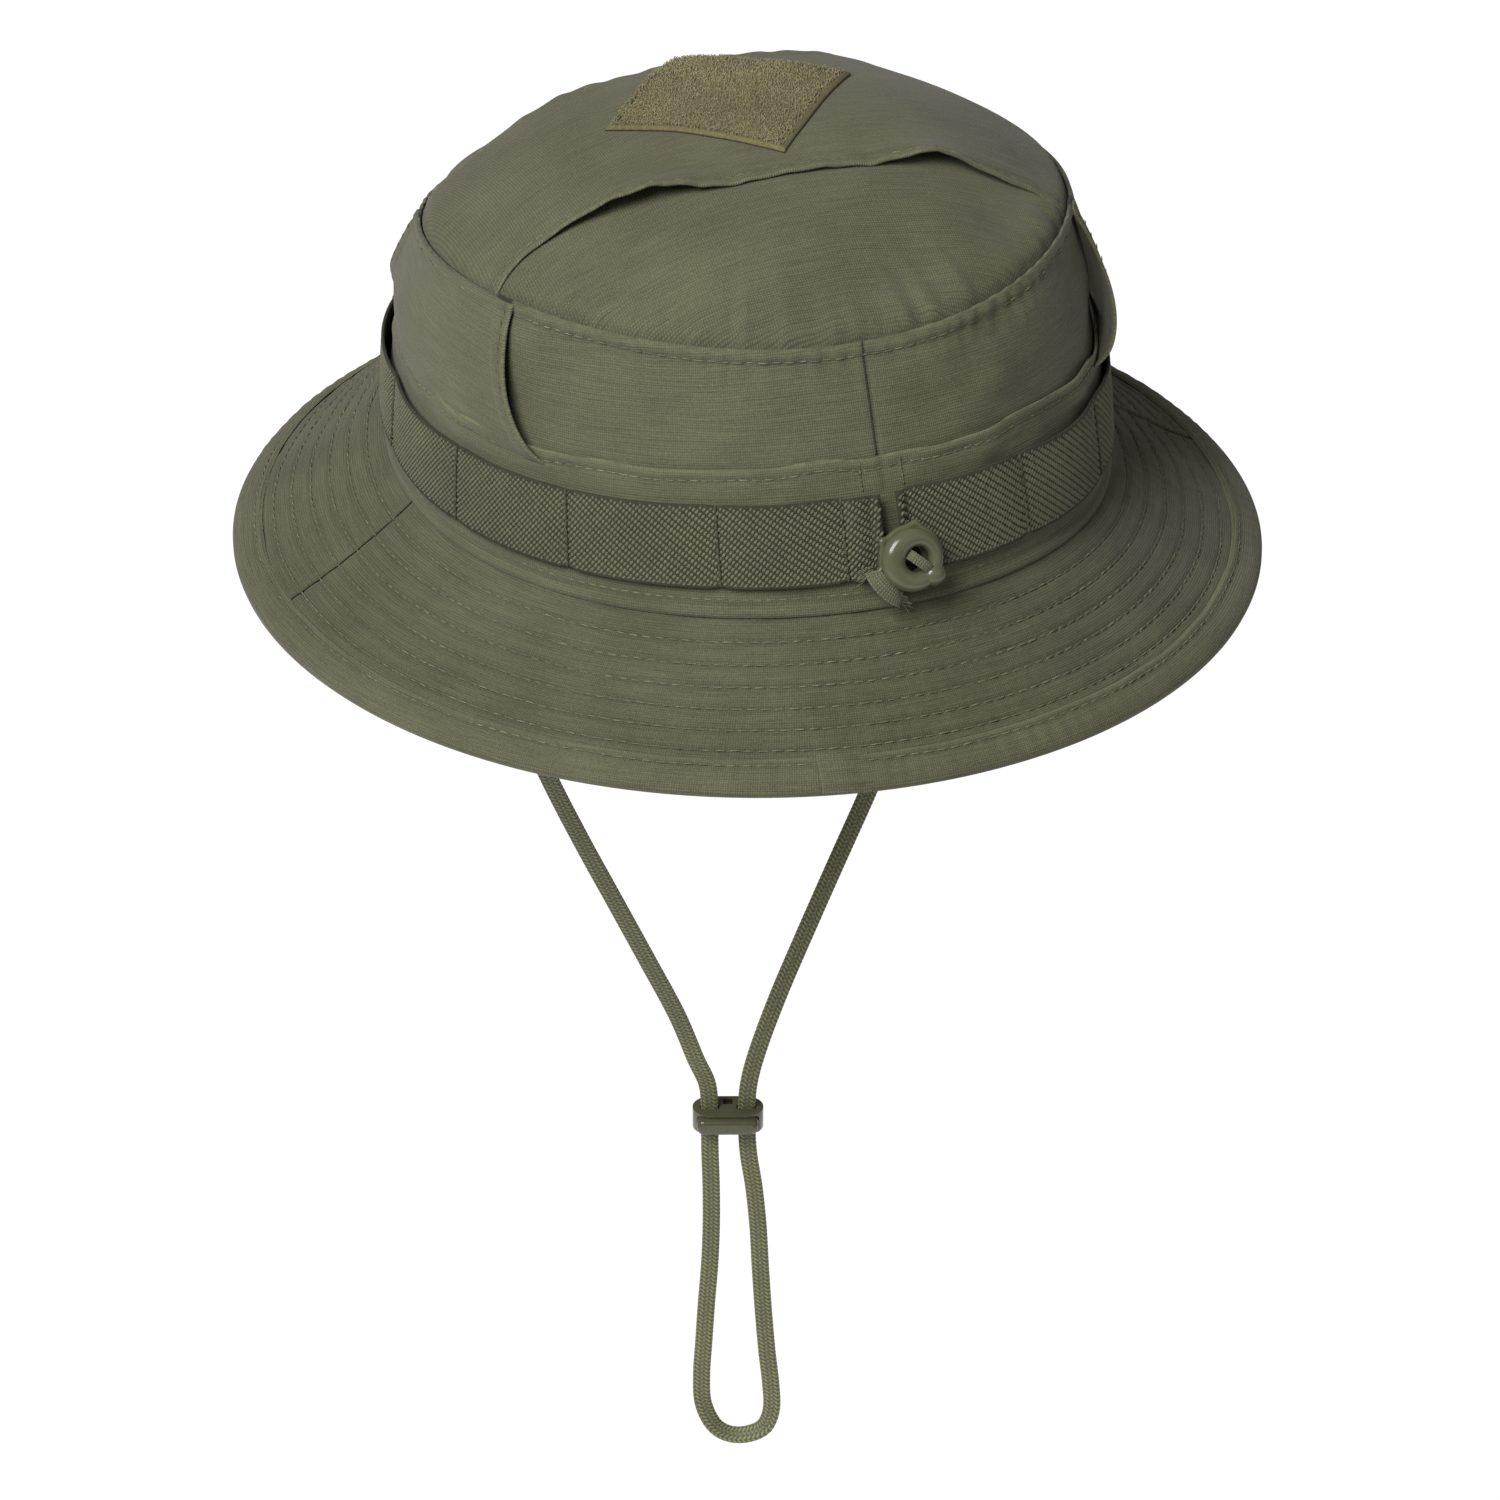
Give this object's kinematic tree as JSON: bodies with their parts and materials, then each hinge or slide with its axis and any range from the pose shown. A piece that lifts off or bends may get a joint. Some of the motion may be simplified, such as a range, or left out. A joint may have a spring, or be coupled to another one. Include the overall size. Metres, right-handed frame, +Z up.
{
  "type": "boonie hat",
  "caption": "Soft brimmed hat with a vented crown, webbing band, square loop patch, rear drawcord adjuster and a chin cord with a sprung lock.",
  "frame": {"origin": "middle of the head opening, at the height of the seam between crown and brim at the front and back", "axes": "+Z up, the hat's front faces -Y and its back, with the adjuster, faces +Y; +X is the wearer's left"},
  "size_m": [0.2592, 0.2756, 0.4097],
  "materials": {
    "ripstop_cloth": "matt woven cotton blend",
    "lining_cloth": "soft matt cloth",
    "vent_net": "fine open net",
    "loop_pile": "fuzzy loop pile",
    "elastic_webbing": "coarse ribbed elastic webbing",
    "sewing_thread": "twisted thread",
    "label_tape": "blank woven tape",
    "interlining": "stiff felted interlining",
    "flat_elastic": "flat woven elastic",
    "braided_cord": "flat braided cord",
    "adjuster_plastic": "moulded, glossy",
    "lock_plastic": "moulded, satin",
    "spring_steel": "bright wire"
  },
  "bodies": {
    "hat": {"tip_strip": "ripstop_cloth", "tip_rear": "ripstop_cloth", "tip_front": "ripstop_cloth", "tip_vent_mesh": "vent_net", "tip_seam_tape": "lining_cloth", "loop_patch": "loop_pile", "wall_rear_left": "ripstop_cloth", "wall_rear_right": "ripstop_cloth", "wall_front": "ripstop_cloth", "side_panel_left": "ripstop_cloth", "side_panel_right": "ripstop_cloth", "side_vent_mesh_left": "vent_net", "side_vent_mesh_right": "vent_net", "base_band": "ripstop_cloth", "foliage_webbing": "elastic_webbing", "webbing_tacks": "sewing_thread", "sweatband": "lining_cloth", "size_label": "label_tape", "brim_top_rear": "ripstop_cloth", "brim_top_front": "ripstop_cloth", "brim_interlining": "interlining", "brim_under_rear": "ripstop_cloth", "brim_under_front": "ripstop_cloth", "brim_binding": "ripstop_cloth", "binding_join": "ripstop_cloth", "drawcord_ring": "flat_elastic", "drawcord_exit_tacks": "sewing_thread", "cord_anchor_left": "lining_cloth", "cord_anchor_right": "lining_cloth"},
    "drawcord_pull": {"drawcord_tail": "flat_elastic"},
    "adjuster": {"adjuster_ring": "adjuster_plastic", "adjuster_plate": "adjuster_plastic"},
    "chin_cord": {"cord_leg_left": "braided_cord", "cord_leg_right": "braided_cord", "cord_loop": "braided_cord"},
    "cord_lock": {"cord_lock_body": "lock_plastic", "cord_lock_spring": "spring_steel"},
    "lock_button": {"cord_lock_button": "lock_plastic"}
  },
  "joints": [
    {"name": "drawcord_slide", "type": "slide", "parent": "hat", "child": "drawcord_pull", "axis": [0, 0.9462, 0.3235], "range_m": [0, 0.03], "deforming": ["drawcord_tail"]},
    {"name": "adjuster_turn", "type": "hinge", "parent": "drawcord_pull", "child": "adjuster", "pos_m": [-0.003, 0.10092, 0.01], "axis": [0, 0.9462, 0.3235], "range_deg": [-60, 60]},
    {"name": "chin_cord_swing", "type": "hinge", "parent": "hat", "child": "chin_cord", "pos_m": [0, -0.014, -0.017], "axis": [1, 0, 0], "range_deg": [-70, 70]},
    {"name": "cord_lock_slide", "type": "slide", "parent": "chin_cord", "child": "cord_lock", "axis": [0, 0, 1], "range_m": [-0.055, 0.1], "deforming": ["cord_leg_left", "cord_leg_right", "cord_loop"]},
    {"name": "lock_button_press", "type": "slide", "parent": "cord_lock", "child": "lock_button", "axis": [-0.342, -0.9397, 0], "range_m": [0, 0.002], "stiffness_N_per_m": 400, "springref_m": -0.002, "deforming": ["cord_lock_spring"]}
  ]
}
